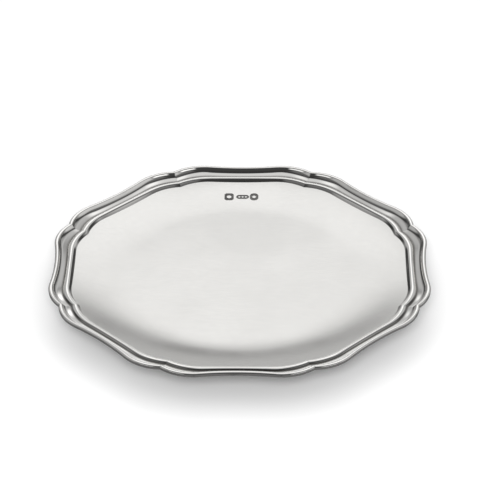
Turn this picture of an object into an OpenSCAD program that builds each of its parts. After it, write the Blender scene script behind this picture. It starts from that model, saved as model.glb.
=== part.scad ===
// Shaped salver: a thin dished plate, a two-tier moulded border soldered on it in eight
// mitred sections, and four cast feet. Millimetres, +Z up.
// The origin is on the surface it stands on, under the centre of the plate.

/* [Plate] */
// Thickness of the sheet
sheet = 0.8; // [0.7:0.1:1.2]
// Radius of the flat middle of the plate
flat_r = 59.5; // [56:0.5:64]
// Radius of curvature of the rise from the flat middle to the border
rise_r = 187; // [175:2:239]

/* [Border outline] */
// Crest of the outer moulding, from the axis to the middle of a panel
rim_mid = 96.2; // [95.8:0.1:96.8]
// Crest of the outer moulding, from the axis to a notch
rim_notch = 98.9; // [98:0.1:99.5]
// Radius of the hollow along a panel of the outer moulding
rim_hollow = 136; // [120:2:160]
// Radius of the shoulders beside a notch of the outer moulding
rim_shoulder = 24; // [22:0.5:27]
// Crest of the inner bead, from the axis to the middle of a panel
bead_mid = 89.5; // [89.2:0.1:89.8]
// Crest of the inner bead, from the axis to a notch
bead_notch = 90.9; // [90.5:0.1:91.3]
// Radius of the hollow along a panel of the inner bead, which is almost straight
bead_hollow = 3000; // [1500:500:6000]
// Radius of the shoulders beside a notch of the inner bead
bead_shoulder = 30.4; // [28:0.4:34]

/* [Border section] */
// Inner edge of the border, from the axis to the middle of a panel
base_x = 86.9; // [86.6:0.1:87]
// Edge of the plate under the border, from the axis to the middle of a panel
edge_x = 93.6; // [93:0.1:94]
// Radius of the bend where the plate turns level under the border
ledge_r = 89.9; // [89.8:0.1:90.4]

/* [Feet] */
// Height of a foot, from the table to the underside of the plate
foot_h = 14.9; // [12.9:0.2:19.9]
// Distance of a foot's top from the axis
foot_r = 57; // [50:1:58]
// Radius of the flat sole
sole_r = 3.2; // [2.8:0.1:3.4]
// Thickness of the sole
sole_t = 1; // [0.8:0.1:1.2]

/* [Marks] */
// Distance of the row of punched marks from the axis
mark_y = 74.2; // [66.2:1:77.2]
// Depth of the punched marks
mark_depth = 0.15; // [0.1:0.05:0.25]

/* [Hidden] */

panels = 8;
half_panel = 180 / panels;
// Stations along one border section, and along half a panel of the plate's edge
stations = 20;
edge_stations = 8;
// Largest turn between two points of the border's section
facet_turn = 26;
// Rings of a foot between two of its widths, and sides of a ring
foot_steps = 2;
foot_sides = 14;
// Steps of the plate's rise
rise_steps = 8;

// Each outline is [mid, notch, hollow, shoulder]
rim = [rim_mid, rim_notch, rim_hollow, rim_shoulder];
bead = [bead_mid, bead_notch, bead_hollow, bead_shoulder];

// The top of the border's section as a chain of straights and tangent arcs, from the
// plate outwards: [length or radius, turn in degrees], where a turn of 0 is a straight.
start_heading = 8;
flank = [[0.5, 38], [1.34, 0], [2.1, -46]];
cove = [[1.8, -42], [0.4, 0], [0.5, 62], [1.8, 0], [3.1, 50], [0.2, 0]];
lip = [[0.55, -52], [1.6, -18], [2.4, -18], [0.55, -72], [5.5, -12], [0.6, -88]];

// A foot's levels: [share of its height, how far out, half depth, half width]
foot_levels = [
    [0.04, 3.2, 3.3, 3.1],
    [0.12, 3.3, 3.6, 3.4],
    [0.24, 2.4, 2.9, 2.8],
    [0.38, 0.8, 2.1, 2.1],
    [0.54, 0.6, 2.5, 2.6],
    [0.70, 1.7, 3.7, 4.1],
    [0.84, 1.8, 4.9, 5.9],
    [0.95, 0.7, 6.0, 7.8],
    [1.00, 0.0, 6.4, 8.6]];

top_z = foot_h + sheet;

// Height of the plate's upper face at a distance from the axis
function rise(r) = rise_r - sqrt(rise_r * rise_r - pow(max(r - flat_r, 0), 2));
function plate_z(r) = top_z + rise(min(r, ledge_r));

// Centre of an outline's shoulder arc, which touches the hollow and ends at the notch
function shoulder_centre(o) =
    let (n = o[1] * [sin(half_panel), cos(half_panel)],
         h = [0, o[0] + o[2]],
         d = norm(n - h),
         u = (n - h) / d,
         a = (pow(o[2] + o[3], 2) - o[3] * o[3] + d * d) / (2 * d),
         s = sqrt(pow(o[2] + o[3], 2) - a * a))
    h + a * u + s * [u[1], -u[0]];

// Distance of an outline from the axis, in the direction a from the middle of its panel
function outline_r(o, a) =
    let (h = [0, o[0] + o[2]],
         c = shoulder_centre(o),
         t = h + (c - h) * o[2] / (o[2] + o[3]),
         e = [sin(abs(a)), cos(a)])
    abs(a) < atan2(t[0], t[1])
        ? e * h - sqrt(pow(e * h, 2) - h * h + o[2] * o[2])
        : e * c + sqrt(pow(e * c, 2) - c * c + o[3] * o[3]);

// A line of the border that is x from the axis in the middle of a panel: it follows the
// bead's outline inside the bead, the rim's outside the rim, and blends between them.
function line_r(x, a) =
    let (t = min(max((x - bead_mid) / (rim_mid - bead_mid), 0), 1))
    x + (1 - t) * (outline_r(bead, a) - bead_mid) + t * (outline_r(rim, a) - rim_mid);

// Points of a chain of straights and arcs, each as [x, z, heading]
function straight(p, run) = [[p[0] + run * cos(p[2]), p[1] + run * sin(p[2]), p[2]]];
function arc(p, run, turn) =
    let (n = ceil(abs(turn) / facet_turn), s = sign(turn) * run)
    [for (k = [1 : n])
        let (b = p[2] + turn * k / n)
        [p[0] + s * (sin(b) - sin(p[2])), p[1] + s * (cos(p[2]) - cos(b)), b]];
function chain(p, steps, i = 0) =
    i == len(steps) ? [] :
    let (run = steps[i][0],
         turn = steps[i][1],
         q = turn == 0 ? straight(p, run) : arc(p, run, turn))
    concat(q, chain(q[len(q) - 1], steps, i + 1));

flank_points = chain([base_x, 0, start_heading], flank);
cove_points = chain(flank_points[len(flank_points) - 1], concat(cove, lip));
base_z = plate_z(base_x);
bead_rise = flank_points[len(flank_points) - 1][1];

// One cross-section of the border, in the direction a from the middle of its panel
function border_ring(a) =
    let (foot_line = line_r(base_x, a),
         foot_z = plate_z(foot_line),
         crest_z = base_z + bead_rise,
         outer = [for (p = cove_points) [line_r(p[0], a), base_z + p[1]]],
         inner = [for (p = flank_points)
             [line_r(p[0], a), foot_z + (crest_z - foot_z) * p[1] / bead_rise]])
    [for (q = concat([[foot_line, foot_z]], inner, outer,
                     [[line_r(edge_x, a), plate_z(ledge_r)], [ledge_r, plate_z(ledge_r)]]))
        [q[0] * sin(a), q[0] * cos(a), q[1]]];

// A closed solid through rings of equally many points, closed by the two caps
module loft(rings, caps) {
    m = len(rings[0]);
    n = len(rings);
    sides = [for (k = [0 : n - 2], j = [0 : m - 1])
        let (a = k * m + j, b = k * m + (j + 1) % m)
        each [[a, b + m, a + m], [a, b, b + m]]];
    polyhedron(
        points = [for (ring = rings, p = ring) p],
        faces = concat(caps, sides),
        convexity = 4);
}

// Section of the border in panel i, counted from the back and to the left
module border_section(i) {
    rings = [for (k = [0 : stations]) border_ring(half_panel * (2 * k / stations - 1))];
    m = len(rings[0]);
    caps = [[for (j = [m - 1 : -1 : 0]) j], [for (j = [0 : m - 1]) stations * m + j]];
    color("silver")
        rotate((i - 1) * 2 * half_panel)
            loft(rings, caps);
}

// Outline of the plate's edge, under the border
module plate_outline() {
    steps = 2 * edge_stations;
    polygon([for (i = [0 : panels - 1], k = [0 : steps - 1])
        let (a = half_panel * (2 * k / steps - 1), d = a + i * 2 * half_panel)
        line_r(edge_x, a) * [sin(d), cos(d)]]);
}

// The whole dished disc that the plate is cut from
module plate_disc() {
    disc_r = rim_notch + rim_shoulder;
    upper = concat(
        [for (k = [0 : rise_steps])
            let (r = flat_r + (ledge_r - flat_r) * k / rise_steps) [r, plate_z(r)]],
        [[disc_r, plate_z(disc_r)]]);
    lower = [for (k = [len(upper) - 1 : -1 : 0]) upper[k] - [0, sheet]];
    rotate_extrude($fn = 128)
        polygon(concat([[0, top_z]], upper, lower, [[0, foot_h]]));
}

// Punched marks: each is a sunk field that leaves a plain device standing
module mark_square() {
    difference() {
        intersection() {
            square([5, 6.2], center = true);
            rotate(45)
                square(6.6, center = true);
        }
        circle(r = 1.3, $fn = 32);
    }
}

module mark_bar() {
    difference() {
        union() {
            square([3.4, 3.6], center = true);
            for (s = [-1, 1])
                translate([1.7 * s, 0])
                    circle(r = 1.8, $fn = 32);
        }
        for (s = [-1, 0, 1])
            translate([1.8 * s, 0])
                circle(r = 0.6, $fn = 32);
    }
}

module mark_oval() {
    difference() {
        union() {
            square([4.6, 1.8], center = true);
            for (s = [-1, 1])
                translate([0, 0.9 * s])
                    circle(r = 2.3, $fn = 32);
        }
        rotate(45)
            square(1.9, center = true);
    }
}

// Sinks a mark into the upper face, square to it
module punch(x) {
    translate([x, mark_y, plate_z(mark_y)])
        rotate([asin((mark_y - flat_r) / rise_r), 0, 0])
            translate([0, 0, -mark_depth])
                linear_extrude(1)
                    children();
}

module plate() {
    color("gainsboro")
        difference() {
            intersection() {
                plate_disc();
                translate([0, 0, foot_h - 1])
                    linear_extrude(10)
                        plate_outline();
            }
            punch(-7.1)
                mark_square();
            punch(0.3)
                mark_bar();
            punch(6.6)
                mark_oval();
        }
}

// Levels of a foot, eased from each one to the next
function foot_level(s) =
    let (k = min(floor(s), len(foot_levels) - 2),
         t = s - k,
         before = foot_levels[max(k - 1, 0)],
         from = foot_levels[k],
         to = foot_levels[k + 1],
         after = foot_levels[min(k + 2, len(foot_levels) - 1)])
    from + (to - before) * t / 2
        + (2 * before - 5 * from + 4 * to - after) * t * t / 2
        + (3 * from - before - 3 * to + after) * t * t * t / 2;

// Cast foot i, with a leaf against the plate, a knee, an ankle and a flat sole
module foot(i) {
    last = foot_steps * (len(foot_levels) - 1);
    rings = [for (s = [0 : last])
        let (f = foot_level(s / foot_steps))
        [for (j = [0 : foot_sides - 1])
            let (a = -360 * j / foot_sides)
            [foot_r + f[1] + f[2] * cos(a), f[3] * sin(a), foot_h * f[0]]]];
    caps = [[for (j = [foot_sides - 1 : -1 : 0]) j],
            [for (j = [0 : foot_sides - 1]) last * foot_sides + j]];
    color("lightgray")
        rotate(45 + 90 * (i - 1)) {
            loft(rings, caps);
            translate([foot_r + foot_levels[0][1], 0, 0])
                cylinder(r = sole_r, h = sole_t, $fn = 48);
        }
}

plate();
border_section(1);  // border_section_1
border_section(2);  // border_section_2
border_section(3);  // border_section_3
border_section(4);  // border_section_4
border_section(5);  // border_section_5
border_section(6);  // border_section_6
border_section(7);  // border_section_7
border_section(8);  // border_section_8
foot(1);  // foot_1
foot(2);  // foot_2
foot(3);  // foot_3
foot(4);  // foot_4
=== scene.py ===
"""Looks of the silver salver: a smooth eight-panelled border, a satin dished plate with
punched marks, cast feet, their silver, and a pale studio.

Lengths are in millimetres until a mesh is made. +Y is the back, where the marks are."""

import math

import bpy
import numpy as np
from mathutils import Matrix, Vector


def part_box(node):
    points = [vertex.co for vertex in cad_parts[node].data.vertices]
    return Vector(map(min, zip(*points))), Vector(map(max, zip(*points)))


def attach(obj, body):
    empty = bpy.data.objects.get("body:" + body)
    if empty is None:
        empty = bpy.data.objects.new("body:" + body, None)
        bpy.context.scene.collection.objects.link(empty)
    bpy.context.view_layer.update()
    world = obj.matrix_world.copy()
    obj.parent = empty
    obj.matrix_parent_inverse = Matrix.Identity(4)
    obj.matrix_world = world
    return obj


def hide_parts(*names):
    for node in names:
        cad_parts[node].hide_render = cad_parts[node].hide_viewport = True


MM = 0.001
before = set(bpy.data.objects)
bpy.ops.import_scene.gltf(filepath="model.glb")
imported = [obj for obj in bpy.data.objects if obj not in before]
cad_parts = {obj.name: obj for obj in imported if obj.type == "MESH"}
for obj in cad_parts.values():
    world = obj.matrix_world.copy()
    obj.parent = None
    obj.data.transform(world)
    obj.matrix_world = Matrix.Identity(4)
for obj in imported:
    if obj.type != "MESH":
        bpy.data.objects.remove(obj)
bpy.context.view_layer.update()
plate_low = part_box("plate")[0]

# ---------------------------------------------------------------- the salver's sizes

# The plate is flat out to FLAT_R, rises on an arc of RISE_R as far as LEDGE_R, and is level
# from there to its edge
SHEET = 0.8
FLAT_R = 59.5
RISE_R = 187.0
LEDGE_R = 89.9

# The border's panels: number 1 is at the back, and they run to the left seen from above
PANELS = 8
HALF_PANEL = math.pi / PANELS
# Outlines: at a panel's middle, at the notch, radius of the hollow, radius of the shoulders
RIM = (96.2, 98.9, 136.0, 24.0)
BEAD = (89.5, 90.9, 3000.0, 30.4)
# Distances at a panel's middle of the border's inner edge, and of the plate's edge under it
BASE_X = 86.9
EDGE_X = 93.6
# The border's section from the plate outwards, in straights and tangent arcs that set off
# at START_HEADING degrees: (length or radius, turn in degrees)
START_HEADING = 8.0
FLANK = [(0.5, 38), (1.34, 0), (2.1, -46)]
COVE = [(1.8, -42), (0.4, 0), (0.5, 62), (1.8, 0), (3.1, 50), (0.2, 0)]
LIP = [(0.55, -52), (1.6, -18), (2.4, -18), (0.55, -72), (5.5, -12), (0.6, -88)]

# The feet: how many, the first one's turn to the left of +X in degrees, and their distance
FEET = 4
FIRST_FOOT = 45.0
FOOT_R = 57.0
FOOT_H = plate_low[2] / MM
TOP_Z = FOOT_H + SHEET
# A foot's levels: share of its height, how far out, half depth, half width
FOOT_LEVELS = np.array([
    (0.00, 3.2, 3.2, 3.2),
    (0.04, 3.2, 3.3, 3.1),
    (0.12, 3.3, 3.6, 3.4),
    (0.24, 2.4, 2.9, 2.8),
    (0.38, 0.8, 2.1, 2.1),
    (0.54, 0.6, 2.5, 2.6),
    (0.70, 1.7, 3.7, 4.1),
    (0.84, 1.8, 4.9, 5.9),
    (0.95, 0.7, 6.0, 7.8),
    (1.00, 0.0, 6.4, 8.6),
])
# The leaf at the top of a foot: its lobes, how deep they cut, and the share where they start
LEAF_LOBES = 5
LEAF_CUT = 0.05
LEAF_START = 0.75

# The punched marks: how far back they are, their depth, and the width of their sloping walls
MARK_Y = 74.2
MARK_DEPTH = 0.18
MARK_WALL = 0.28
# The left mark: half its width and height, its cut corners' distance, and its disc
SQUARE_HALF = (2.5, 3.1)
SQUARE_CUT = 3.3
DISC_R = 1.3
# The middle mark: half its straight part, the radius of its ends, and its pellets
BAR_HALF = 1.7
BAR_R = 1.8
PELLET_PITCH = 1.8
PELLET_R = 0.6
# The right mark: half its straight part, the radius of its ends, and half its lozenge
OVAL_HALF = 0.9
OVAL_R = 2.3
LOZENGE_HALF = 1.34

# ---------------------------------------------------------------- fineness of the meshes

STRAIGHT_PARTS = 6
ARC_STEP = 4.0  # degrees
SECTION_STATIONS = 96
FOOT_SIDES = 56
FOOT_STEPS = 8
# The plate's grid: its rings within, across and beyond the marks, and its spokes either side
# of the marks and over the rest
INNER_RINGS = np.linspace(2, 69.5, 27)
MARK_RINGS = np.arange(70.5, 78.0, 0.12)
OUTER_RINGS = np.linspace(79, LEDGE_R, 12)
UNDER_THINNING = 10
MARKS_TURN = math.radians(9.5)
MARKS_SPOKE = math.radians(0.11)
OTHER_SPOKES = 180
# Keeps the smooth shoulders inside the CAD's faceted ones
SNUG = 0.9992
# How far the border's inner edge is sunk into the plate, and how far the plate's edge is
# kept in from the corner of the border that covers it
SEAT = 0.03
TUCK = 0.02

# ---------------------------------------------------------------- where tarnish film and painted shade darken the silver

# Lines of the border where tarnish film and painted shade darken its creases, at a panel's middle:
# place, half width, amount
TARNISH_AND_SHADE_LINES = ((87.5, 0.45, 0.45), (91.35, 0.55, 1.0), (94.3, 0.4, 0.5))
# The last points of the lip, and the underside with them, and the painted shade put on them
HIDDEN_POINTS = 3
UNDERSIDE_SHADE = 0.8
MITRE_FILM = 0.15
MITRE_TURN = math.radians(0.12)
# The share of a foot's height where the solder line starts
SOLDER_START = 0.93

# ---------------------------------------------------------------- shape functions


def plate_z(r):
    """Height of the plate's upper face at a distance from the axis."""
    over = np.clip(np.minimum(r, LEDGE_R) - FLAT_R, 0, None)
    return TOP_Z + RISE_R - np.sqrt(RISE_R**2 - over**2)


def outline_r(outline, a):
    """Distance of an outline from the axis, in the directions a from its panel's middle."""
    mid, notch, hollow, shoulder = outline
    n = notch * np.array([math.sin(HALF_PANEL), math.cos(HALF_PANEL)])
    # The hollow's centre h, the shoulder's centre c, and the point t where the two arcs meet
    h = np.array([0, mid + hollow])
    d = np.linalg.norm(n - h)
    u = (n - h) / d
    reach = ((hollow + shoulder) ** 2 - shoulder**2 + d * d) / (2 * d)
    side = math.sqrt((hollow + shoulder) ** 2 - reach**2)
    c = h + reach * u + side * np.array([u[1], -u[0]])
    t = h + (c - h) * hollow / (hollow + shoulder)
    e = np.stack([np.sin(np.abs(a)), np.cos(a)], axis=-1)
    eh, ec = e @ h, e @ c
    inner = eh - np.sqrt(np.clip(eh**2 - h @ h + hollow**2, 0, None))
    outer = ec + np.sqrt(np.clip(ec**2 - c @ c + shoulder**2, 0, None))
    return np.where(np.abs(a) < math.atan2(t[0], t[1]), inner, outer)


def line_r(x, a):
    """A line of the border that is x from the axis in the middle of a panel."""
    t = np.clip((x - BEAD[0]) / (RIM[0] - BEAD[0]), 0, 1)
    return x + (1 - t) * (outline_r(BEAD, a) - BEAD[0]) + t * (outline_r(RIM, a) - RIM[0])


def chain(x, z, heading, steps):
    """Points (x, z) along straights and tangent arcs, and the heading where they end."""
    points = [(x, z)]
    h = math.radians(heading)
    for run, turn in steps:
        if turn == 0:
            for k in range(1, STRAIGHT_PARTS + 1):
                way = run * k / STRAIGHT_PARTS
                points.append((x + way * math.cos(h), z + way * math.sin(h)))
        else:
            parts = max(2, math.ceil(abs(turn) / ARC_STEP))
            s = math.copysign(run, turn)
            for k in range(1, parts + 1):
                b = h + math.radians(turn) * k / parts
                across = s * (math.sin(b) - math.sin(h))
                up = s * (math.cos(h) - math.cos(b))
                points.append((x + across, z + up))
            h += math.radians(turn)
        x, z = points[-1]
    return points, math.degrees(h)


def turned(points, angle):
    """Points turned about the Z axis, to the left seen from above."""
    c, s = math.cos(angle), math.sin(angle)
    x, y, z = points[..., 0], points[..., 1], points[..., 2]
    return np.stack([x * c - y * s, x * s + y * c, z], axis=-1)


def make_object(name, points, faces, sharp, attributes, metal):
    """A smooth-shaded piece in metres, with its sharp edges and values at its points."""
    mesh = bpy.data.meshes.new(name)
    mesh.from_pydata((np.asarray(points, float) * MM).tolist(), [], faces)
    mesh.validate()
    mesh.shade_smooth()
    for key, values in attributes.items():
        layer = mesh.attributes.new(key, "FLOAT", "POINT")
        layer.data.foreach_set("value", np.asarray(values, np.float32))
    marked = {tuple(sorted(edge)) for edge in sharp}
    for edge in mesh.edges:
        if tuple(sorted(edge.vertices)) in marked:
            edge.use_edge_sharp = True
    mesh.materials.append(metal)
    obj = bpy.data.objects.new(name, mesh)
    bpy.context.scene.collection.objects.link(obj)
    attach(obj, "root")
    return obj


# ---------------------------------------------------------------- the border


def section_line():
    """The upper line of the border's section, x and z, and how many points its flank has."""
    flank, heading = chain(BASE_X, 0, START_HEADING, FLANK)
    outer, _ = chain(*flank[-1], heading, COVE + LIP)
    x, z = np.array(flank + outer[1:]).T
    return x, z, len(flank)


def section_ring(top_x, top_z, n_flank, angle):
    """The border's whole section, cut in a direction from its panel's middle."""
    base_z = plate_z(BASE_X)
    bead_rise = top_z[n_flank - 1]
    ledge_z = plate_z(LEDGE_R)
    r = SNUG * line_r(top_x, angle)
    z = base_z + top_z
    # The flank starts from the plate, wherever the line of its foot runs
    foot_z = plate_z(r[0])
    z[:n_flank] = foot_z + (base_z + bead_rise - foot_z) * top_z[:n_flank] / bead_rise
    z[0] -= SEAT
    r = np.append(r, [line_r(EDGE_X, angle), LEDGE_R])
    z = np.append(z, [ledge_z, ledge_z])
    return np.stack([r * math.sin(angle), r * math.cos(angle), z], axis=-1)


def border_film_and_shade(top_x, angles):
    """How dark each point is painted: tarnish film and painted shade in creases, painted shade under the
    lip, and dark joints at the mitres.
    """
    x = np.append(top_x, [EDGE_X, LEDGE_R])
    # Tarnish film and painted shade along the creases
    film_and_shade = sum(amount * np.exp(-((x - centre) / width) ** 2) for centre, width, amount in TARNISH_AND_SHADE_LINES)
    # Painted shade on the lip's last points and on the underside
    film_and_shade[len(top_x) - HIDDEN_POINTS:] = UNDERSIDE_SHADE
    ends = np.exp(-((HALF_PANEL - np.abs(angles)) / MITRE_TURN) ** 2)
    return np.maximum(film_and_shade[None, :], MITRE_FILM * ends[:, None])


def border_section(index, metal):
    """One mitred casting of the border, the same shape as its CAD node but smooth."""
    top_x, top_z, n_flank = section_line()
    angles = np.linspace(-HALF_PANEL, HALF_PANEL, SECTION_STATIONS + 1)
    points = np.array([section_ring(top_x, top_z, n_flank, angle) for angle in angles])
    n, m = points.shape[:2]
    faces = []
    for k in range(n - 1):
        for j in range(m):
            j2 = (j + 1) % m
            faces.append((k * m + j, (k + 1) * m + j, (k + 1) * m + j2, k * m + j2))
    faces.append(list(range(m)))
    faces.append(list(range(n * m - 1, n * m - m - 1, -1)))
    # Sharp along the inner edge, the lip's foot and the seat, and round both mitres
    corners = (0, m - 3, m - 2, m - 1)
    sharp = [(k * m + j, (k + 1) * m + j) for k in range(n - 1) for j in corners]
    sharp += [(k * m + j, k * m + (j + 1) % m) for k in (0, n - 1) for j in range(m)]
    film_and_shade = border_film_and_shade(top_x, angles)
    points = turned(points, (index - 1) * 2 * HALF_PANEL)
    obj = make_object(f"border_casting_{index}", points.reshape(-1, 3), faces, sharp,
                      {"tarnish_and_shade": film_and_shade.ravel()}, metal)
    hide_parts(f"border_section_{index}")


# ---------------------------------------------------------------- the plate and its marks


def inside_square(x, y):
    """Signed distance, negative inside, of the left mark's field and of its disc."""
    box = np.maximum(np.abs(x) - SQUARE_HALF[0], np.abs(y) - SQUARE_HALF[1])
    cut = (np.abs(x) + np.abs(y)) / math.sqrt(2) - SQUARE_CUT
    return np.maximum(box, cut), np.hypot(x, y) - DISC_R


def inside_bar(x, y):
    """The same for the middle mark, a long field with three pellets."""
    field = np.hypot(np.clip(np.abs(x) - BAR_HALF, 0, None), y) - BAR_R
    pellets = [np.hypot(x - PELLET_PITCH * s, y) for s in (-1, 0, 1)]
    return field, np.min(pellets, axis=0) - PELLET_R


def inside_oval(x, y):
    """The same for the right mark, an upright oval with a lozenge."""
    field = np.hypot(x, np.clip(np.abs(y) - OVAL_HALF, 0, None)) - OVAL_R
    return field, (np.abs(x) + np.abs(y) - LOZENGE_HALF) / math.sqrt(2)


# Each mark's place across, and its shape
MARKS = ((-7.1, inside_square), (0.3, inside_bar), (6.6, inside_oval))


def sunk(x, y):
    """How far the punched marks sink the plate at a place, from 0 to 1."""
    depth = np.zeros_like(x)
    for centre, inside in MARKS:
        field, device = inside(x - centre, y - MARK_Y)
        into = np.clip(-field / MARK_WALL, 0, 1) * np.clip(device / MARK_WALL, 0, 1)
        depth = np.maximum(depth, into)
    return depth


def plate(metal):
    """The dished sheet: a polar grid, finer across the marks that are sunk in it."""
    beside = np.arange(-MARKS_TURN, MARKS_TURN, MARKS_SPOKE)
    rest = np.linspace(MARKS_TURN, 2 * math.pi - MARKS_TURN, OTHER_SPOKES, endpoint=False)
    azimuths = np.concatenate([beside, rest])
    sx, sy = np.sin(azimuths), np.cos(azimuths)
    m = len(azimuths)

    def loop(r, z):
        return list(zip(r * sx, r * sy, np.full(m, z)))

    upper_rings = np.concatenate([INNER_RINGS, MARK_RINGS, OUTER_RINGS])
    under_rings = np.concatenate([INNER_RINGS, MARK_RINGS[::UNDER_THINNING], OUTER_RINGS])[::-1]
    panel = (azimuths + HALF_PANEL) % (2 * HALF_PANEL) - HALF_PANEL
    edge = line_r(EDGE_X, panel) - TUCK
    ledge_z = plate_z(LEDGE_R)
    points = [(0, 0, TOP_Z)]
    depth = [0.0]
    for r in upper_rings:
        mark = sunk(r * sx, r * sy)
        points += loop(r, plate_z(r) - MARK_DEPTH * mark)
        depth += list(mark)
    points += loop(edge, ledge_z) + loop(edge, ledge_z - SHEET)
    for r in under_rings:
        points += loop(r, plate_z(r) - SHEET)
    points.append((0, 0, FOOT_H))
    depth += [0.0] * (len(points) - len(depth))
    n = len(upper_rings) + 2 + len(under_rings)
    faces = [(0, 1 + (j + 1) % m, 1 + j) for j in range(m)]
    for k in range(n - 1):
        for j in range(m):
            p, q = 1 + k * m + j, 1 + k * m + (j + 1) % m
            faces.append((p, q, q + m, p + m))
    last = 1 + (n - 1) * m
    faces += [(last + j, last + (j + 1) % m, last + m) for j in range(m)]
    edge_loops = (len(upper_rings), len(upper_rings) + 1)
    sharp = [(1 + k * m + j, 1 + k * m + (j + 1) % m) for k in edge_loops for j in range(m)]
    # The sunk depth also says where the satin silver paints shade into the punched fields
    obj = make_object("salver_plate", points, faces, sharp, {"sunk": depth}, metal)
    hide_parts("plate")


# ---------------------------------------------------------------- the feet


def eased(levels, s):
    """Levels of a foot at s, eased from each one to the next."""
    k = min(int(s), len(levels) - 2)
    t = s - k
    before, start = levels[max(k - 1, 0)], levels[k]
    end, after = levels[k + 1], levels[min(k + 2, len(levels) - 1)]
    return (start + (end - before) * t / 2 + (2 * before - 5 * start + 4 * end - after) * t * t / 2
            + (3 * start - before - 3 * end + after) * t**3 / 2)


def foot(index, metal):
    """A cast cabriole foot with a leaf against the plate and a flat sole."""
    a = np.linspace(0, 2 * math.pi, FOOT_SIDES, endpoint=False)
    rings = []
    for k in range(FOOT_STEPS * (len(FOOT_LEVELS) - 1) + 1):
        share, out, deep, wide = eased(FOOT_LEVELS, k / FOOT_STEPS)
        leaf = max(0, share - LEAF_START) / (1 - LEAF_START)
        lobes = 1 + LEAF_CUT * leaf * (np.cos(LEAF_LOBES * a) - 1)
        z = np.full(FOOT_SIDES, min(max(share, 0), 1) * FOOT_H)
        rings.append(np.stack([FOOT_R + out + deep * lobes * np.cos(a), wide * lobes * np.sin(a), z],
                              axis=-1))
    points = np.array(rings)
    n, m = points.shape[:2]
    faces = [(k * m + j, k * m + (j + 1) % m, (k + 1) * m + (j + 1) % m, (k + 1) * m + j)
             for k in range(n - 1) for j in range(m)]
    faces.append(list(range(m - 1, -1, -1)))
    faces.append(list(range((n - 1) * m, n * m)))
    sharp = [(k * m + j, k * m + (j + 1) % m) for k in (0, n - 1) for j in range(m)]
    film_and_shade = np.clip((points[:, 0, 2] / FOOT_H - SOLDER_START) / (1 - SOLDER_START), 0, 1)
    points = turned(points, math.radians(FIRST_FOOT + 360 / FEET * (index - 1)))
    obj = make_object(f"cast_foot_{index}", points.reshape(-1, 3), faces, sharp,
                      {"tarnish_and_shade": np.repeat(film_and_shade, m)}, metal)
    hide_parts(f"foot_{index}")


# ---------------------------------------------------------------- materials


class Nodes:
    """Short calls for building one node tree."""

    def __init__(self, tree):
        self.tree = tree
        self.tree.nodes.clear()

    def add(self, kind, inputs=None, **settings):
        node = self.tree.nodes.new(kind)
        for key, value in settings.items():
            setattr(node, key, value)
        for key, value in (inputs or {}).items():
            if isinstance(value, bpy.types.NodeSocket):
                self.tree.links.new(value, node.inputs[key])
            else:
                node.inputs[key].default_value = value
        return node

    def noise(self, vector, scale, detail):
        inputs = {"Vector": vector, "Scale": scale, "Detail": detail}
        return self.add("ShaderNodeTexNoise", inputs).outputs["Fac"]

    def math(self, operation, a, b=0.0):
        return self.add("ShaderNodeMath", {0: a, 1: b}, operation=operation).outputs[0]

    def ramp(self, value, low, high, to_low=0.0, to_high=1.0, kind="SMOOTHSTEP"):
        inputs = {"Value": value, "From Min": low, "From Max": high, "To Min": to_low, "To Max": to_high}
        return self.add("ShaderNodeMapRange", inputs, interpolation_type=kind).outputs["Result"]

    def mix(self, factor, a, b):
        return self.add("ShaderNodeMix", {"Factor": factor, 6: a, 7: b}, data_type="RGBA").outputs[2]


def new_material(name):
    made = bpy.data.materials.new(name)
    made.use_nodes = True
    return made, Nodes(made.node_tree)


# Scratches to the metre along each axis: without direction, and brushed along X
EVEN = (1500.0, 1500.0, 1500.0)
BRUSHED = (300.0, 2400.0, 2400.0)
# Each silver: its clean colour and the dark colour of its tarnish film and painted shade, its roughness
# and how far that varies, the grain and strength of its scratches, and the attribute that says where
# that film and painted shade go
SILVERS = {
    # The border's dark colour is tarnish film and painted shade in its creases and under its lip
    "polished_silver": {
        "clean": (0.94, 0.93, 0.91, 1), "film_and_shade": (0.10, 0.095, 0.085, 1),
        "roughness": 0.06, "spread": 0.02, "grain": EVEN, "scratch": 0.03, "film_and_shade_by": "tarnish_and_shade",
    },
    # The satin plate paints near-black shade into its punched fields
    "satin_silver": {
        "clean": (0.80, 0.792, 0.772, 1), "film_and_shade": (0.02, 0.019, 0.017, 1),
        "roughness": 0.17, "spread": 0.02, "grain": BRUSHED, "scratch": 0.18, "film_and_shade_by": "sunk",
    },
    "cast_silver": {
        "clean": (0.90, 0.89, 0.86, 1), "film_and_shade": (0.15, 0.14, 0.12, 1),
        "roughness": 0.14, "spread": 0.03, "grain": EVEN, "scratch": 0.1, "film_and_shade_by": "tarnish_and_shade",
    },
}
CLOUD_SCALE = 28.0
SCRATCHED_TONE = 0.8
SCRATCH_DEPTH = 0.00001  # metres
FILM_ROUGHNESS = 0.2


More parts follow.
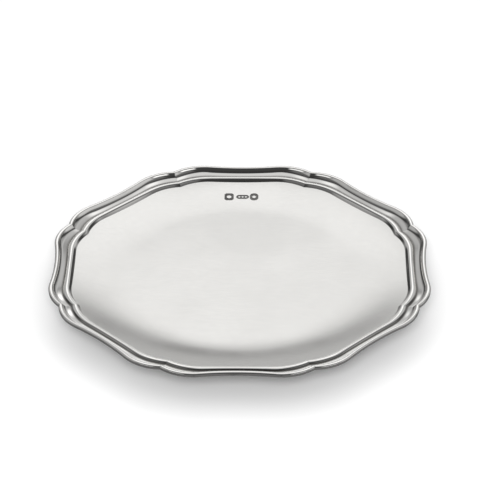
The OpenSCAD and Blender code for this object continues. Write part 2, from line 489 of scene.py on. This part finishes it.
def silver(name, clean, film_and_shade, roughness, spread, grain, scratch, film_and_shade_by):
    """Metal with fine scratches, cloudy polish, and a darker colour where its attribute says: tarnish
    film where polish can't reach, and painted shade in creases, under the lip and in the punched marks.
    """
    made, n = new_material(name)
    place = n.add("ShaderNodeTexCoord").outputs["Object"]
    cloud = n.noise(place, CLOUD_SCALE, 5.0)
    stretched = n.add("ShaderNodeMapping", {"Vector": place, "Scale": grain}).outputs[0]
    streak = n.noise(stretched, 1.0, 2.0)
    tarnish_and_shade = n.add("ShaderNodeAttribute", attribute_name=film_and_shade_by).outputs["Fac"]
    # Tarnish film and painted shade: the attribute, varied by the clouds, darkens the colour and
    # roughens it
    film_and_shade_share = n.math("MULTIPLY", tarnish_and_shade, n.ramp(cloud, 0.2, 0.8, 0.75, 1.0))
    scratched = tuple(SCRATCHED_TONE * channel for channel in clean[:3]) + (1,)
    rubbed = n.mix(n.ramp(streak, 0.35, 0.65, 0.0, scratch), clean, scratched)
    polish = n.ramp(cloud, 0.3, 0.7, roughness - spread, roughness + spread)
    bump = n.add("ShaderNodeBump", {"Height": streak, "Strength": scratch, "Distance": SCRATCH_DEPTH})
    shader = n.add("ShaderNodeBsdfPrincipled", {
        "Base Color": n.mix(film_and_shade_share, rubbed, film_and_shade),
        "Metallic": 1.0,
        "Roughness": n.math("ADD", polish, n.math("MULTIPLY", film_and_shade_share, FILM_ROUGHNESS)),
        "Normal": bump.outputs["Normal"],
    })
    n.add("ShaderNodeOutputMaterial", {"Surface": shader.outputs["BSDF"]})
    return made


# ---------------------------------------------------------------- studio

# What the silver mirrors, in degrees. Each card: lowest and highest elevation, nearest and
# furthest turn from straight behind, softness of the two kinds of edge, and strength.
CARDS = ((-90, -10, 0, 180, 6, 5, 0.09),
         (-10, 8, 0, 20, 5, 9, 1.0),
         (8, 25.5, 0, 14, 2, 8, 0.51),
         (29.3, 50, 0, 8, 2.8, 3.5, 1.05),
         (20, 50, 8, 12.5, 3, 3.5, 1.05),
         (14, 60, 15, 46, 4, 5, 0.42),
         (50, 84, 0, 26, 4, 12, 0.62),
         (8, 32, 122, 158, 6, 5, 1.0),
         (-5, 42, 66, 118, 5, 8, 0.46),
         (42, 72, 68, 140, 5, 10, 0.14))
AMBIENT = 0.05
# How much brighter the sky is to the right, and dimmer to the left
LEAN = 0.18


def studio_sky():
    """A light tent by direction: bright cards behind and beside, a dark gap over the camera."""
    world = bpy.data.worlds.new("studio")
    bpy.context.scene.world = world
    world.use_nodes = True
    n = Nodes(world.node_tree)
    way = n.add("ShaderNodeSeparateXYZ", {0: n.add("ShaderNodeTexCoord").outputs["Generated"]}).outputs
    up = n.math("MULTIPLY", n.math("ARCSINE", way["Z"]), 180 / math.pi)
    turn = n.math("ABSOLUTE", n.math("ARCTAN2", way["X"], way["Y"]))
    turn = n.math("MULTIPLY", turn, 180 / math.pi)

    def card(low, high, near, far, soft_up, soft_turn, strength):
        """A softbox between two elevations and two turns away from straight behind."""
        lit = n.ramp(up, low - soft_up, low + soft_up)
        lit = n.math("MULTIPLY", lit, n.ramp(up, high + soft_up, high - soft_up))
        lit = n.math("MULTIPLY", lit, n.ramp(turn, far + soft_turn, far - soft_turn))
        if near > 0:
            lit = n.math("MULTIPLY", lit, n.ramp(turn, near - soft_turn, near + soft_turn))
        return n.math("MULTIPLY", lit, strength)

    light = AMBIENT
    for setting in CARDS:
        light = n.math("ADD", light, card(*setting))
    lean = n.ramp(way["X"], -1.0, 1.0, 1 - LEAN, 1 + LEAN, kind="LINEAR")
    light = n.math("MULTIPLY", light, lean)
    back = n.add("ShaderNodeBackground", {"Color": (1, 1, 1, 1), "Strength": light})
    n.add("ShaderNodeOutputWorld", {"Surface": back.outputs[0]})


FLOOR_HALF = 6.0  # metres


def studio_floor():
    """A pale floor that the silver doesn't mirror."""
    made, n = new_material("pale_floor")
    shader = n.add("ShaderNodeBsdfPrincipled", {
        "Base Color": (0.9, 0.9, 0.9, 1),
        "Roughness": 0.9,
        "Specular IOR Level": 0.0,
    })
    n.add("ShaderNodeOutputMaterial", {"Surface": shader.outputs["BSDF"]})
    corners = [(x * FLOOR_HALF, y * FLOOR_HALF, 0) for x, y in ((-1, -1), (1, -1), (1, 1), (-1, 1))]
    mesh = bpy.data.meshes.new("floor")
    mesh.from_pydata(corners, [], [(0, 1, 2, 3)])
    mesh.materials.append(made)
    floor = bpy.data.objects.new("floor", mesh)
    bpy.context.scene.collection.objects.link(floor)
    floor.visible_glossy = False


# Lights that the silver doesn't mirror, in metres and watts: place, aim, width, power
LAMPS = {
    "overhead": ((0, -0.3, 1.3), (0, -0.3, 0), 4.0, 35.0),
    "front_fill": ((0, -1.5, 1.1), (0, 0, 0), 0.6, 22.0),
}


def lamps():
    """A broad overhead light and a front fill, which give the floor its soft shadow."""
    for name, (place, aim, width, power) in LAMPS.items():
        lamp = bpy.data.lights.new(name, "AREA")
        lamp.shape = "DISK"
        lamp.size = width
        lamp.energy = power
        light = bpy.data.objects.new(name, lamp)
        bpy.context.scene.collection.objects.link(light)
        light.location = place
        light.rotation_euler = (Vector(aim) - Vector(place)).to_track_quat("-Z", "Y").to_euler()
        light.visible_glossy = False


CAMERA_TURN = math.radians(1.097)
CAMERA_UP = math.radians(33.519)
CAMERA_AWAY = 1.3406  # metres
CAMERA_LENS = 192.3
CAMERA_SENSOR = 36
CAMERA_ROLL = math.radians(-0.47)
CAMERA_TILT = math.radians(0.534)
# The rim's centre is this far above the plate at the border's inner edge
RIM_RISE = 3.65


def camera():
    """The photograph's view, with the rim's centre a little below the middle."""
    data = bpy.data.cameras.new("camera")
    data.lens = CAMERA_LENS
    data.sensor_width = CAMERA_SENSOR
    cam = bpy.data.objects.new("camera", data)
    bpy.context.scene.collection.objects.link(cam)
    way = Vector((math.sin(CAMERA_TURN) * math.cos(CAMERA_UP),
                  -math.cos(CAMERA_TURN) * math.cos(CAMERA_UP), math.sin(CAMERA_UP)))
    centre = Vector((0, 0, (plate_z(BASE_X) + RIM_RISE) * MM))
    cam.location = centre + way * CAMERA_AWAY
    look = (-way).to_track_quat("-Z", "Y").to_matrix().to_4x4()
    look = look @ Matrix.Rotation(CAMERA_ROLL, 4, "Z") @ Matrix.Rotation(CAMERA_TILT, 4, "X")
    cam.rotation_euler = look.to_euler()
    bpy.context.scene.camera = cam


# ---------------------------------------------------------------- making it

camera()
studio_sky()
studio_floor()
lamps()
bpy.context.scene.view_settings.view_transform = "Standard"

metals = {name: silver(name, **look) for name, look in SILVERS.items()}
plate(metals["satin_silver"])
for i in range(1, PANELS + 1):
    border_section(i, metals["polished_silver"])
for i in range(1, FEET + 1):
    foot(i, metals["cast_silver"])
